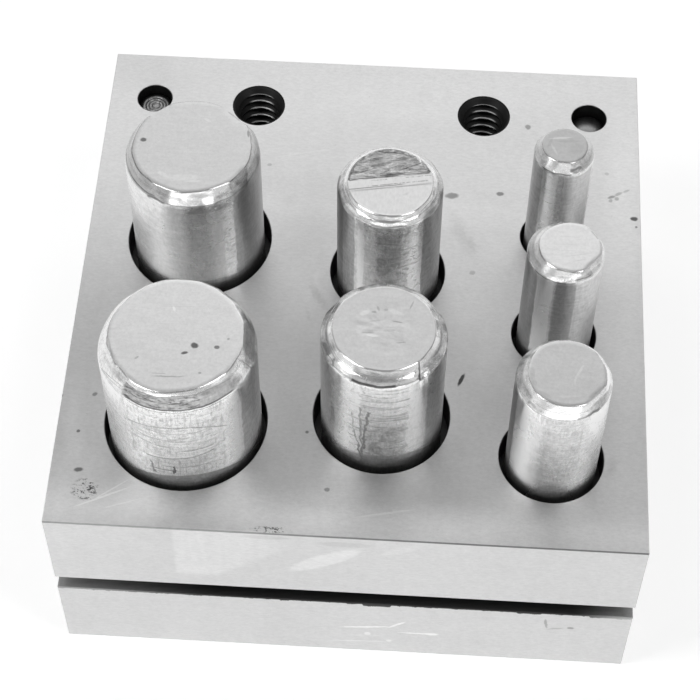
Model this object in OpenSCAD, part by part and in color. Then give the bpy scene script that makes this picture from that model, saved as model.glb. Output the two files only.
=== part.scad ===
// Disc cutter for sheet metal: seven round punches stand in a guide plate, which is
// screwed and dowelled over a die plate. The throat between the plates takes the sheet,
// and a punch driven down through it shears a disc into the die plate.
// All sizes are millimetres. X runs left to right along the open front of the throat,
// Y from the front to the back, Z up. The origin is the middle of the underside.
// Punches are numbered from the smallest, 1, to the largest, 7. They stand in three
// columns: 7 and 6 at the left, 5 and 4 in the centre, 3, 2 and 1 at the right,
// each counted from the front.

/* [Plates] */
// Width of both plates, left to right
block_w = 123; // [108:1:180]
// Depth of both plates, front to back
block_d = 127.5; // [118:0.5:200]
// Thickness of the upper plate, which guides the punches
guide_t = 23.7; // [18:0.1:40]
// Thickness of the lower plate, which holds the dies
die_t = 22.5; // [18:0.1:40]
// Height of the throat between the plates
throat_h = 4.6; // [2.5:0.1:8]
// Depth of the bar that closes the throat at the back
spacer_d = 26; // [23:0.5:34]
// Width of the small bevel on every outer edge of the plates
edge_break = 0.2; // [0.1:0.1:1]

/* [Punches] */
// Diameter of the smallest punch
punch_first_d = 12.7; // [10:0.1:15.3]
// Growth in diameter from each punch to the next
punch_step = 3.175; // [1.5:0.005:4]
// Length of every punch
punch_len = 82.55; // [64:0.05:120]
// Width of the narrow flatter bevel between the struck face and the main one
rim_w = 0.5; // [0.1:0.1:1]
// Height of that narrow bevel
rim_h = 0.25; // [0.05:0.05:0.5]

/* [Bevels at the struck ends] */
// Width, in radius, of the bevel on punch 1
bevel_w_1 = 1.5; // [1.2:0.1:3]
// Height of the bevel on punch 1
bevel_h_1 = 2.3; // [1:0.1:5]
// Width of the bevel on punch 2
bevel_w_2 = 1.5; // [1.2:0.1:3]
// Height of the bevel on punch 2
bevel_h_2 = 2.4; // [1:0.1:5]
// Width of the bevel on punch 3
bevel_w_3 = 1.7; // [1.2:0.1:3]
// Height of the bevel on punch 3
bevel_h_3 = 2.8; // [1:0.1:5]
// Width of the bevel on punch 4
bevel_w_4 = 2.1; // [1.2:0.1:3]
// Height of the bevel on punch 4
bevel_h_4 = 2.2; // [1:0.1:5]
// Width of the bevel on punch 5
bevel_w_5 = 2.3; // [1.2:0.1:3]
// Height of the bevel on punch 5
bevel_h_5 = 2.4; // [1:0.1:5]
// Width of the bevel on punch 6
bevel_w_6 = 1.6; // [1.2:0.1:3]
// Height of the bevel on punch 6
bevel_h_6 = 3.2; // [1:0.1:5]
// Width of the bevel on punch 7
bevel_w_7 = 2.2; // [1.2:0.1:3]
// Height of the bevel on punch 7
bevel_h_7 = 4.6; // [1:0.1:6]

/* [Punch layout] */
// Wall between the left side and punch 7
left_wall_7 = 10.9; // [6:0.1:16]
// Wall between the left side and punch 6
left_wall_6 = 10.7; // [6:0.1:20]
// How far right of the middle of the free space punch 5 stands
centre_shift_5 = -0.6; // [-5:0.1:5]
// How far right of the middle of the free space punch 4 stands
centre_shift_4 = -1.1; // [-5:0.1:5]
// Wall between the right side and punch 3
right_wall_3 = 10.3; // [6:0.1:16]
// Wall between the right side and punch 2
right_wall_2 = 11.5; // [6:0.1:20]
// Wall between the right side and punch 1
right_wall_1 = 13.4; // [6:0.1:20]
// Wall between the front and punch 7
front_wall_7 = 10.2; // [6:0.1:18]
// Wall between punches 7 and 6
wall_7_to_6 = 17.8; // [6:0.1:25]
// Wall between the front and punch 5
front_wall_5 = 17.2; // [6:0.1:28]
// Wall between punches 5 and 4
wall_5_to_4 = 13.6; // [6:0.1:26]
// Wall between the front and punch 3
front_wall_3 = 12.1; // [6:0.1:24]
// Wall between punches 3 and 2
wall_3_to_2 = 13.5; // [6:0.1:25]
// Wall between punches 2 and 1
wall_2_to_1 = 12; // [6:0.1:24]

/* [Guide bores] */
// Gap all round between a punch and its guide bore
guide_clear = 0.05; // [0.02:0.01:0.09]
// Depth of the wider relief at the top of each guide bore
relief_depth = 8; // [2:0.5:14]
// Width of the relief round punch 1
relief_w_1 = 0.8; // [0.4:0.1:2]
// Width of the relief round punch 2
relief_w_2 = 1.1; // [0.4:0.1:2]
// Width of the relief round punch 3
relief_w_3 = 1.3; // [0.4:0.1:2]
// Width of the relief round punch 4
relief_w_4 = 1.4; // [0.4:0.1:2]
// Width of the relief round punch 5
relief_w_5 = 1.6; // [0.4:0.1:2]
// Width of the relief round punch 6
relief_w_6 = 1.5; // [0.4:0.1:2]
// Width of the relief round punch 7
relief_w_7 = 1.1; // [0.4:0.1:2]
// Width of the broken edge at the mouth of each hole in the top
mouth_break = 0.2; // [0.1:0.1:0.5]

/* [Dies] */
// Gap all round between a punch and its die
die_clear = 0.04; // [0.02:0.01:0.09]
// Depth of the straight die below the throat
die_land = 8; // [4:0.5:14]
// How much wider, all round, the hole is below the die so that discs drop out
die_relief = 0.5; // [0.2:0.1:1.5]

/* [Dowels] */
// Diameter of the two dowels
dowel_d = 7.94; // [6.6:0.01:10]
// How much shorter the dowels are than the block is high
dowel_short = 6.4; // [5.5:0.1:12]
// How far the left dowel lies below the top of the guide plate
dowel_sunk_left = 2.6; // [0.5:0.1:5]
// How far the right dowel lies below the top of the guide plate
dowel_sunk_right = 3.2; // [0.5:0.1:5]
// Bevel at both ends of a dowel
dowel_bevel = 0.6; // [0.2:0.1:1.5]
// Distance from the left side to the left dowel
dowel_inset_left = 10.4; // [8:0.1:16]
// Distance from the right side to the right dowel
dowel_inset_right = 11.4; // [8:0.1:16]
// Distance from the back of the block to the dowels
dowel_back = 13.4; // [8:0.1:16]
// Gap all round between a dowel and the holes that it slides into
dowel_clear = 0.02; // [0.01:0.01:0.05]
// How much smaller, all round, its hole in the die plate is, which grips it
dowel_grip = 0.005; // [0.001:0.001:0.01]

/* [Cap screws] */
// Outer diameter of the thread
thread_d = 12; // [10:0.1:14.4]
// Pitch of the thread
thread_pitch = 2.5; // [1.2:0.1:3]
// How far a screw reaches into the guide plate
screw_reach = 9.7; // [5:0.1:14]
// Diameter of the screw head
head_d = 18; // [16:0.1:22]
// Height of the screw head
head_h = 12; // [8:0.1:14.4]
// Width across the flats of the hexagon socket
hex_af = 10; // [8:0.1:12]
// Depth of the hexagon socket
hex_depth = 6; // [3:0.1:7.2]
// How far a head lies above the underside of the block
head_sunk = 0.6; // [0.2:0.1:2]
// Distance from each dowel, towards the middle, to the screw beside it
dowel_to_screw = 24.4; // [18:0.1:32]
// Distance from the back of the block to the screws
screw_back = 14.2; // [12:0.1:15]
// Gap all round between a screw and the plain holes it passes through
screw_clear = 0.5; // [0.2:0.1:0.8]
// Gap, measured outwards, between the thread of a screw and of its hole
thread_clear = 0.1; // [0.05:0.01:0.2]

/* [Hidden] */
$fn = 96;

past = 1;                       // how far a cut runs past the surface it opens
head_bevel = 1;                 // bevel round the socket end of a screw
neck_len = 3;                   // plain shank between head and thread

guide_z = die_t + throat_h;     // underside of the guide plate
top_z = guide_z + guide_t;      // top of the guide plate
left_x = -block_w / 2;
right_x = block_w / 2;
front_y = -block_d / 2;
back_y = block_d / 2;

dowel_len = top_z - dowel_short;
dowel_left_x = left_x + dowel_inset_left;
dowel_right_x = right_x - dowel_inset_right;
dowel_y = back_y - dowel_back;

screw_left_x = dowel_left_x + dowel_to_screw;
screw_right_x = dowel_right_x - dowel_to_screw;
screw_y = back_y - screw_back;
screw_end = guide_z + screw_reach;
head_seat = head_h + head_sunk; // height of the face that a screw head bears on
thread_depth = 0.64 * thread_pitch;
thread_minor_r = thread_d / 2 - thread_depth;

// Diameter and radius of punch n
function punch_d(n) = punch_first_d + (n - 1) * punch_step;
function punch_r(n) = punch_d(n) / 2;

// Sizes that differ from punch to punch; the first entry of each is unused
bevel_w = [0, bevel_w_1, bevel_w_2, bevel_w_3, bevel_w_4, bevel_w_5, bevel_w_6, bevel_w_7];
bevel_h = [0, bevel_h_1, bevel_h_2, bevel_h_3, bevel_h_4, bevel_h_5, bevel_h_6, bevel_h_7];
relief_w = [
    0, relief_w_1, relief_w_2, relief_w_3, relief_w_4, relief_w_5, relief_w_6, relief_w_7,
];

// The centre column stands midway between punches 7 and 3, give or take its shifts
free_left = left_x + left_wall_7 + punch_d(7);
free_right = right_x - right_wall_3 - punch_d(3);
centre_x = (free_left + free_right) / 2;

// Rows, from the front to the back of each column
y_7 = front_y + front_wall_7 + punch_r(7);
y_6 = y_7 + punch_r(7) + wall_7_to_6 + punch_r(6);
y_5 = front_y + front_wall_5 + punch_r(5);
y_4 = y_5 + punch_r(5) + wall_5_to_4 + punch_r(4);
y_3 = front_y + front_wall_3 + punch_r(3);
y_2 = y_3 + punch_r(3) + wall_3_to_2 + punch_r(2);
y_1 = y_2 + punch_r(2) + wall_2_to_1 + punch_r(1);

// Where punch n stands; the first entry is unused
punch_at = [
    [0, 0],
    [right_x - right_wall_1 - punch_r(1), y_1],
    [right_x - right_wall_2 - punch_r(2), y_2],
    [right_x - right_wall_3 - punch_r(3), y_3],
    [centre_x + centre_shift_4, y_4],
    [centre_x + centre_shift_5, y_5],
    [left_x + left_wall_6 + punch_r(6), y_6],
    [left_x + left_wall_7 + punch_r(7), y_7],
];

// A rectangle centred on the origin with its corners cut off
module cut_rectangle(w, h, cut) {
    x = w / 2;
    y = h / 2;
    polygon([
        [cut - x, -y], [x - cut, -y], [x, cut - y], [x, y - cut],
        [x - cut, y], [cut - x, y], [-x, y - cut], [-x, cut - y],
    ]);
}

// A block standing on z = 0 with a bevel on all twelve edges
module bevelled_block(w, d, h, bevel) {
    translate([0, 0, h / 2])
        intersection() {
            linear_extrude(h, center = true) cut_rectangle(w, d, bevel);
            rotate([90, 0, 0])
                linear_extrude(d, center = true) cut_rectangle(w, h, bevel);
            rotate([90, 0, 90])
                linear_extrude(w, center = true) cut_rectangle(d, h, bevel);
        }
}

// A round cut from below z_from to above z_to
module through(r, z_from, z_to) {
    translate([0, 0, z_from - past]) cylinder(r = r, h = z_to - z_from + 2 * past);
}

// A round cut that goes down from the top at z_top
module sunk(r, z_top, depth) {
    translate([0, 0, z_top - depth]) cylinder(r = r, h = depth + past);
}

// A round cut that goes up from the underside of the block
module raised(r, height) {
    translate([0, 0, -past]) cylinder(r = r, h = height + past);
}

// A bevel of width w round a hole of radius r that opens at z_top
module mouth(r, w, z_top) {
    translate([0, 0, z_top - w]) cylinder(r1 = r, r2 = r + w + past, h = w + past);
}

module at_punch(n) {
    translate([punch_at[n].x, punch_at[n].y, 0]) children();
}

module at_dowels() {
    for (x = [dowel_left_x, dowel_right_x]) translate([x, dowel_y, 0]) children();
}

module at_screws() {
    for (x = [screw_left_x, screw_right_x]) translate([x, screw_y, 0]) children();
}

// A threaded rod with round ridges, one to each turn of the thread. The ridges are
// counted from the underside of the guide plate, so those of a screw lie in the
// grooves that the same module cuts for its hole.
module threaded(r_out, r_in, z_from, z_to) {
    first = ceil((z_from - guide_z) / thread_pitch);
    last = floor((z_to - guide_z) / thread_pitch) - 1;
    root = thread_pitch / 16;
    crest = thread_pitch * 3 / 8;
    ridges = [
        for (turn = [first:last], p = [
            [r_in, root], [r_out, crest],
            [r_out, thread_pitch - crest], [r_in, thread_pitch - root],
        ]) [p.x, guide_z + turn * thread_pitch + p.y]
    ];
    rotate_extrude()
        polygon(concat([[0, z_from], [r_in, z_from]], ridges, [[r_in, z_to], [0, z_to]]));
}

module guide_bore(n) {
    relief_r = punch_r(n) + relief_w[n];
    through(punch_r(n) + guide_clear, guide_z, top_z);
    sunk(relief_r, top_z, relief_depth);
    mouth(relief_r, mouth_break, top_z);
}

module tapped_hole() {
    r = thread_minor_r + thread_clear;
    threaded(r + thread_depth, r, guide_z - past, top_z + thread_pitch);
    mouth(r, thread_depth, top_z);
}

module guide_plate() {
    dowel_hole_r = dowel_d / 2 + dowel_clear;
    color("silver")
        difference() {
            translate([0, 0, guide_z])
                bevelled_block(block_w, block_d, guide_t, edge_break);
            for (n = [1:7]) at_punch(n) guide_bore(n);
            at_dowels() {
                through(dowel_hole_r, guide_z, top_z);
                mouth(dowel_hole_r, mouth_break, top_z);
            }
            at_screws() tapped_hole();
        }
}

module die_bore(n) {
    through(punch_r(n) + die_clear, 0, die_t);
    raised(punch_r(n) + die_relief, die_t - die_land);
}

module die_plate() {
    color("silver")
        difference() {
            bevelled_block(block_w, block_d, die_t, edge_break);
            for (n = [1:7]) at_punch(n) die_bore(n);
            at_dowels() through(dowel_d / 2 - dowel_grip, 0, die_t);
            at_screws() {
                through(thread_d / 2 + screw_clear, 0, die_t);
                raised(head_d / 2 + screw_clear, head_seat);
            }
        }
}

// The bar fills the throat behind the punches
module spacer_bar() {
    color("darkgray")
        difference() {
            translate([0, back_y - spacer_d / 2, die_t])
                bevelled_block(block_w, spacer_d, throat_h, edge_break);
            at_dowels() through(dowel_d / 2 + dowel_clear, die_t, guide_z);
            at_screws() through(thread_d / 2 + screw_clear, die_t, guide_z);
        }
}

module dowel(x, sunk_by) {
    r = dowel_d / 2;
    color("gray")
        translate([x, dowel_y, top_z - sunk_by - dowel_len])
            rotate_extrude()
                polygon([
                    [0, 0], [r - dowel_bevel, 0], [r, dowel_bevel],
                    [r, dowel_len - dowel_bevel], [r - dowel_bevel, dowel_len],
                    [0, dowel_len],
                ]);
}

// Socket head cap screw, put in from below
module cap_screw(x) {
    head_r = head_d / 2;
    tip = thread_depth;
    color("dimgray")
        translate([x, screw_y, 0])
            difference() {
                union() {
                    translate([0, 0, head_sunk])
                        cylinder(r1 = head_r - head_bevel, r2 = head_r, h = head_bevel);
                    translate([0, 0, head_sunk + head_bevel])
                        cylinder(r = head_r, h = head_h - head_bevel);
                    translate([0, 0, head_seat]) cylinder(d = thread_d, h = neck_len);
                    threaded(thread_d / 2, thread_minor_r, head_seat, screw_end - tip);
                    translate([0, 0, screw_end - tip])
                        cylinder(r1 = thread_minor_r, r2 = thread_minor_r - tip, h = tip);
                }
                translate([0, 0, head_sunk - past])
                    cylinder(d = hex_af / cos(30), h = hex_depth + past, $fn = 6);
            }
}

// A punch stands on the bench through its die. Its foot, the cutting edge, is sharp.
module punch(n) {
    r = punch_r(n);
    flat_r = r - bevel_w[n];
    color("gainsboro")
        at_punch(n)
            rotate_extrude($fn = 128)
                polygon([
                    [0, 0], [r, 0], [r, punch_len - bevel_h[n]],
                    [flat_r + rim_w, punch_len - rim_h], [flat_r, punch_len],
                    [0, punch_len],
                ]);
}

guide_plate();
die_plate();
spacer_bar();
dowel(dowel_left_x, dowel_sunk_left);  // dowel_left
dowel(dowel_right_x, dowel_sunk_right);  // dowel_right
cap_screw(screw_left_x);  // cap_screw_left
cap_screw(screw_right_x);  // cap_screw_right
punch(1);  // punch_1
punch(2);  // punch_2
punch(3);  // punch_3
punch(4);  // punch_4
punch(5);  // punch_5
punch(6);  // punch_6
punch(7);  // punch_7
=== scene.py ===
"""Disc cutter: seven round steel punches standing in a block of two ground steel plates."""
import math
from functools import cached_property, reduce

import bmesh
import bpy
from mathutils import Matrix, Vector, noise


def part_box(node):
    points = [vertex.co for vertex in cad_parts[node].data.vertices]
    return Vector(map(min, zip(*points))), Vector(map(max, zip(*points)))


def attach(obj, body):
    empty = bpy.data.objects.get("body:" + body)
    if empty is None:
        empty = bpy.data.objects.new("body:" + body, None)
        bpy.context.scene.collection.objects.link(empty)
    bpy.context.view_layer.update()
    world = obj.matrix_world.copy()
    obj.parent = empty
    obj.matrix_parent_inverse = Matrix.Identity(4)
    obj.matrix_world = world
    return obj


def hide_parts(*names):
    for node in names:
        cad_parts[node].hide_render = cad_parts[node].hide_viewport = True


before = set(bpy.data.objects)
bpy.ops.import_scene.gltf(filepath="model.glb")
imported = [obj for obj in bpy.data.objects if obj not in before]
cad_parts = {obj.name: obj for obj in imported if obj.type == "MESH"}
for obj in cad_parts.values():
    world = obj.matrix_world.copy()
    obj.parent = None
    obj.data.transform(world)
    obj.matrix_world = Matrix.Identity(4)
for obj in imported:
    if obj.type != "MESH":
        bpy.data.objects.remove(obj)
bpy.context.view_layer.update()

# ---------------------------------------------------------------- sizes and places

MM = 0.001

# The camera that took the photograph: its place in metres, and its angles in degrees.
CAMERA_PLACE = (0.011518, -0.264099, 0.414831)
CAMERA_TILT = 34.109
CAMERA_TURN = 3.026
CAMERA_ROLL = 0.387
CAMERA_LENS = 105.514
CAMERA_SENSOR = 36.0
CAMERA_CLIP = (0.01, 20)

PUNCHES = range(1, 8)
SCREWS = ("cap_screw_left", "cap_screw_right")


def span(node):
    """A node's middle, radius across and top, in millimetres."""
    (x0, y0, _), (x1, y1, top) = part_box(node)
    return (x0 + x1) / 2 / MM, (y0 + y1) / 2 / MM, (x1 - x0) / 2 / MM, top / MM


BLOCK_TOP = span("guide_plate")[3]
DIE_TOP = span("die_plate")[3]
GUIDE_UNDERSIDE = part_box("guide_plate")[0][2] / MM
BLOCK_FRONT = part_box("guide_plate")[0][1] / MM

# How much wider than its punch each hole is where it opens in the top, and the other holes' radii.
RELIEFS = {1: 0.8, 2: 1.1, 3: 1.3, 4: 1.4, 5: 1.6, 6: 1.5, 7: 1.1}
TAPPED_RADIUS = 6.1
THREAD_CREST = 4.5
DOWEL_HOLE_RADIUS = 3.99

# How much of the light the clean plates give back, how much of it painted shade takes away towards
# the front of the top, where the punches' dark reflections fall, and how much painted shade darkens
# the upright faces.
PLATE_TONE = 0.74
FRONT_SHADE_DEPTH = 0.16
UPRIGHT_SHADE = 0.10

# The worn shoulder of each punch, from the struck face outwards. Every step is millimetres in from
# the side and millimetres down from the face.
SHOULDERS = {
    1: ((1.5, 0), (1.32, 0.1), (0.32, 1.55), (0.06, 2), (0, 2.6)),
    2: ((1.5, 0), (1.15, 0.22), (0.34, 1.62), (0.06, 2.1), (0, 2.7)),
    3: ((1.7, 0), (1.5, 0.1), (0.36, 1.95), (0.06, 2.45), (0, 3.1)),
    4: ((2.1, 0), (1.88, 0.12), (1.25, 0.95), (0.95, 1), (0.3, 1.8), (0.05, 2.15), (0, 2.7)),
    5: ((2.3, 0), (2.05, 0.12), (1.3, 1.2), (1.02, 1.28), (0.35, 2), (0.05, 2.35), (0, 2.9)),
    6: ((1.6, 0), (1.3, 0.16), (0.38, 2.2), (0.08, 2.85), (0, 3.6)),
    7: ((2.2, 0), (1.95, 0.1), (1.45, 0.8), (0.45, 3.3), (0.1, 4.15), (0, 5)),
}
PUNCH_SEGMENTS = 192
FACE_RINGS = {1: 8, 2: 9, 3: 10, 4: 40, 5: 30, 6: 12, 7: 14}
# How far a slanting blow has pushed a struck face off the punch's axis, in millimetres.
FACE_SHIFTS = {2: (0.70, -0.35), 3: (0.45, -0.10), 4: (0.0, -0.50), 7: (0.0, -0.25)}
SIDE_RINGS = 24
CORNER_CUTS = 3
DOWEL_SEGMENTS = 96
# Each dowel's end: its bevel and the radii of its turned grooves, its tone and how coarse it is.
DOWEL_ENDS = {
    "dowel_left": (0.9, (0.9, 1.7, 2.4), 0.32, 1.5),
    "dowel_right": (1.1, (), 0.34, 0.5),
}
SHARP_ANGLE = 50

# How far each shoulder has been beaten in from a true circle, and each struck face's rim, in millimetres.
SHOULDER_WAVER = {1: 0.10, 2: 0.08, 3: 0.10, 4: 0.16, 5: 0.16, 6: 0.18, 7: 0.20}
RIM_WAVER = {1: 0.30, 2: 0.25, 3: 0.35, 4: 0.25, 5: 0.35, 6: 0.45, 7: 0.45}

# Flat spots beaten into the shoulders: degrees round from the front, degrees tilted up, millimetres deep.
FLATS = {
    1: ((-4, 35, 0.3), (38, 35, 0.25), (-70, 30, 0.2), (150, 30, 0.35), (-140, 30, 0.3)),
    2: ((-10, 37, 0.25), (50, 38, 0.15), (-62, 35, 0.25), (125, 30, 0.25), (-150, 30, 0.25)),
    3: ((-60, 38, 0.35), (-14, 34, 0.2), (50, 36, 0.25), (118, 30, 0.25), (-140, 30, 0.3)),
    4: ((52, 40, 0.18), (-50, 35, 0.18), (120, 30, 0.25), (-120, 30, 0.25)),
    5: ((-66, 35, 0.4), (54, 33, 0.55), (128, 30, 0.4), (-125, 30, 0.3)),
    6: ((140, 25, 0.95), (-140, 28, 0.75), (58, 32, 0.28), (-52, 40, 0.12), (12, 26, 0.1), (100, 20, 0.2)),
    7: ((92, 26, 0.75), (140, 32, 0.6), (-138, 32, 0.55), (-64, 36, 0.4), (40, 45, 0.3)),
}
FLAT_SOFTNESS = 0.10

# Small nicks: degrees round from the front, millimetres below the face, size and depth.
NICKS = {
    1: ((26, 1.6, 0.9, 0.18),),
    2: ((24, 1.9, 0.9, 0.15),),
    3: ((38, 2, 1.1, 0.18), (-44, 2.1, 0.8, 0.12)),
    4: ((10, 2.1, 1.2, 0.12), (-30, 1.9, 1, 0.12)),
    5: ((-56, 1.5, 1.1, 0.22), (41, 1.9, 1.3, 0.32)),
    6: ((-28, 2.9, 1.6, 0.22), (32, 2.6, 1.4, 0.15)),
    7: ((82, 1.6, 1.4, 0.15), (-32, 2.6, 1.8, 0.15)),
}

# Marks on the punches' sides, and painted reflections: the tall plain bands, bright and dark, stand for
# the lamps and the neighbouring punches mirrored in the side. Patches: texture, edges round from the
# front in degrees and their softness, edges up in millimetres and their softness, strength. Below 0 the
# patch is a bright one.
SIDE_PATCHES = {
    1: (("rings", (-36, 14, 5), (60, 80, 3), 0.14), ("plain", (-95, -46, 5), (48, 79.4, 0.6), 0.24),
        ("plain", (-41, -14, 5), (48, 79.6, 0.6), -0.38), ("plain", (6, 62, 8), (48, 79.4, 0.6), 0.3)),
    2: (("rings", (-34, -16, 5), (58, 80, 3), 0.08), ("plain", (-95, -46, 3), (48, 79.6, 0.6), 0.42),
        ("plain", (-42, -22, 6), (48, 79.8, 0.6), -0.6), ("plain", (-12, 15, 5), (48, 79.6, 0.6), 0.38),
        ("plain", (20, 80, 5), (48, 79.4, 0.6), 0.22)),
    3: (("hatch", (-46, -4, 5), (77.2, 80.2, 0.8), 0.25), ("cloud", (-40, 30, 10), (60, 78, 4), 0.14),
        ("plain", (-18, 15, 6), (52, 79, 3), 0.08), ("fleck", (48, 62, 4), (53, 62, 3), 0.25),
        ("plain", (-100, -70, 3), (48, 79, 0.6), 0.55), ("plain", (-61, -28, 10), (50, 79.6, 0.6), -0.32),
        ("plain", (28, 90, 5), (50, 79.4, 0.6), -0.12)),
    4: (("cloud", (-9, 13, 4), (58, 77, 2), 0.42), ("fleck", (14, 37, 3), (56, 80.5, 1.5), 0.42),
        ("fleck", (-12, 14, 6), (77, 80.6, 1), 0.4), ("plain", (-100, -60, 3), (50, 80.6, 0.6), 0.58),
        ("plain", (-60, -40, 2.5), (50, 80.6, 0.6), 0.4), ("plain", (-33, -28, 3), (50, 80.6, 0.6), -0.34),
        ("plain", (26, 39, 4), (50, 80.6, 0.6), -0.34), ("plain", (41, 90, 1.2), (50, 80.6, 0.6), 0.38)),
    5: (("rings", (-28, 24, 5), (58, 80, 1.5), 0.5), ("hatch", (-16, 24, 5), (54, 66, 3), 0.34),
        ("cloud", (-8, 20, 8), (54, 65, 3), 0.55), ("fleck", (-50, -12, 5), (52, 79.5, 2), 0.34),
        ("fleck", (-30, -12, 3), (74, 80, 1.2), 0.42), ("cloud", (-52, -44, 3), (60, 65, 1.5), 0.35),
        ("plain", (47, 90, 2), (50, 79.3, 0.6), 0.22), ("plain", (-45, -20, 4), (52, 79.6, 0.8), -0.42),
        ("plain", (17, 45, 3), (50, 79.6, 0.8), -0.16)),
    6: (("fleck", (31, 49, 2), (58, 79.6, 2), 0.42), ("cloud", (2, 40, 6), (77.8, 79.8, 0.8), 0.45),
        ("plain", (50, 69, 1), (51, 79.8, 0.6), 0.36), ("plain", (2, 18, 6), (52, 79, 2), 0.08),
        ("plain", (42, 100, 2), (50, 79.8, 0.6), 0.28), ("plain", (32, 40, 3), (50, 79.8, 0.6), -0.26)),
    7: (("scribble", (-36, 22, 4), (78.9, 81.75, 0.15), 0.85),
        ("scribble", (18, 50, 10), (78.9, 81.75, 0.2), 0.5),
        ("plain", (-36, 50, 4), (78.9, 81.6, 0.2), 0.42), ("hatch", (-36, 42, 4), (56, 78.4, 1.5), 0.34),
        ("fleck", (-30, 45, 6), (56, 77.5, 3), 0.34), ("fleck", (-12, -2, 3), (73, 76.5, 1), 0.45),
        ("hatch", (-21, 10, 3), (55.5, 60.5, 1), 0.4), ("rings", (-26, 30, 5), (60, 72, 2), 0.25),
        ("plain", (57, 90, 1.5), (52, 78.4, 0.5), 0.3), ("plain", (40, 51, 3), (52, 78.6, 0.5), -0.25)),
}
# Lines: the degrees and height of the middle, how far it drops 30 degrees away, the degrees where
# it starts and ends, half its width in millimetres, strength. A strength below 0 is a bright line.
SIDE_LINES = {
    1: ((-15, 80.4, 0, -46, 12, 0.14, 0.6), (24, 81.2, 0, 12, 36, 0.3, 0.55)),
    2: ((-15, 80.15, 0, -52, 12, 0.14, 0.6), (28, 81, 0, 14, 38, 0.2, 0.5)),
    3: ((31, 80.15, 0, 18, 46, 0.22, 0.5), (-12, 80, 0, -50, 20, 0.08, 0.4),
        (0, 81.2, 0, -40, 30, 0.1, 0.25), (-44, 80.6, 0, -49, -39, 0.3, 0.35)),
    4: ((0, 80.6, 0, -18, 20, 0.2, 0.6), (0, 80.75, 0, -60, 60, 0.09, 0.4),
        (0, 81.95, 0, -80, 80, 0.08, 0.35), (26, 67.2, 1.6, 12, 36, 0.22, 0.3),
        (26, 73, 1.8, 10, 34, 0.2, 0.25), (0, 75.2, 2, -9, 10, 0.35, 0.35)),
    5: ((-9, 80.42, 0, -27, 12, 0.24, 0.85), (0, 80.45, 0, -62, 46, 0.1, 0.5),
        (0, 81.6, 0, -70, 40, 0.08, 0.25), (4, 68.4, 0.9, -12, 25, 0.26, 0.42),
        (2, 72.6, -0.5, -14, 25, 0.2, 0.38), (6, 75.2, 0.4, -20, 21, 0.18, 0.3),
        (5, 64.7, 0.5, -8, 26, 0.18, 0.35), (-8, 77, 0.5, -28, 6, 0.18, 0.3),
        (12, 78.2, 0.4, -6, 25, 0.14, 0.28), (6, 70.4, -0.3, -10, 24, 0.14, 0.26),
        (-6, 82, 0, -10, -3, 0.16, 0.5), (6, 81.7, 0, 3, 8, 0.14, 0.4)),
    6: ((-75, 80.25, 0.05, -84, -31, 0.12, 0.55), (-27, 79.65, 0, -34, -20, 0.28, 0.6),
        (15, 79.7, 0, -16, 45, 0.14, 0.5), (-10, 81.2, 0, -16, -5, 0.35, 0.3), (8, 81, 0, 3, 12, 0.3, 0.2),
        (70, 80, 0, 50, 100, 0.1, 0.3)),
    7: ((8, 78.85, 0, -34, 50, 0.2, 0.8), (8, 78.3, 0, -36, 46, 0.09, 0.5),
        (8, 81.85, 0.2, -34, 52, 0.1, 0.55), (-30, 80.7, 1.5, -66, -32, 0.09, 0.35),
        (-30, 79.9, 1, -70, -34, 0.08, 0.3), (-29, 80.9, 0, -34, -24, 0.5, 0.45),
        (4, 72.8, 1, -33, 6, 0.18, 0.5), (5, 73, 2.9, 5, 40, 0.2, 0.55), (12, 64.3, -1, 8, 28, 0.2, 0.5),
        (12, 63.7, -1, 6, 29, 0.22, -0.3), (-20, 61, -0.6, -20, 27, 0.2, 0.5),
        (-20, 61.6, -0.6, -18, 27, 0.22, -0.3), (0, 65.6, -1.2, -30, -2, 0.18, 0.38),
        (-10, 68.2, -1.6, -28, 10, 0.18, 0.34), (4, 70.6, -0.8, -20, 30, 0.16, 0.36),
        (-10, 56.6, -1.2, -18, -1, 0.2, 0.6), (6, 58.2, 0.3, -10, 24, 0.18, 0.42),
        (4, 59.6, 0.2, -18, 26, 0.14, 0.3), (0, 76.4, 0.3, -22, 30, 0.14, 0.24)),
}
# Cracks and runs down a side: height and degrees of the lower end, then of the upper, half width in
# degrees, strength. The seventh punch's bright run high on its shoulder is a painted glint.
SIDE_RUNS = {
    5: ((53, -16, 63, -24.5, 1.2, 0.62), (62, -25, 69, -26, 1, 0.5), (53.5, -15.5, 72, -18.5, 1.2, 0.55),
        (57, -14.5, 71, -10.5, 1.3, 0.62), (79.9, 38, 82.4, 43, 1.4, 0.75)),
    7: ((61, -33.5, 71, -30.5, 1, 0.26), (64, 38, 69.2, 40, 0.9, 0.24), (55.6, -1.5, 58.2, -1, 1, 0.8),
        (55, -16, 59, -18.5, 0.9, 0.6), (78.2, 77.5, 82.5, 71, 2.2, -1), (78.2, 75, 82.5, 69, 0.8, 0.45)),
}
# The dark arch mirrored at each foot: degrees and height of its crown, half its span in degrees,
# softness, strength.
FOOT_ARCHES = {
    3: (-2, 56.4, 20, 1.6, 0.40),
    5: (4, 55.3, 55, 0.6, 0.48),
    6: (10, 54.0, 58, 0.6, 0.30),
    7: (8, 54.9, 52, 0.3, 0.55),
}
ARCH_RISE = 3.7
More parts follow.
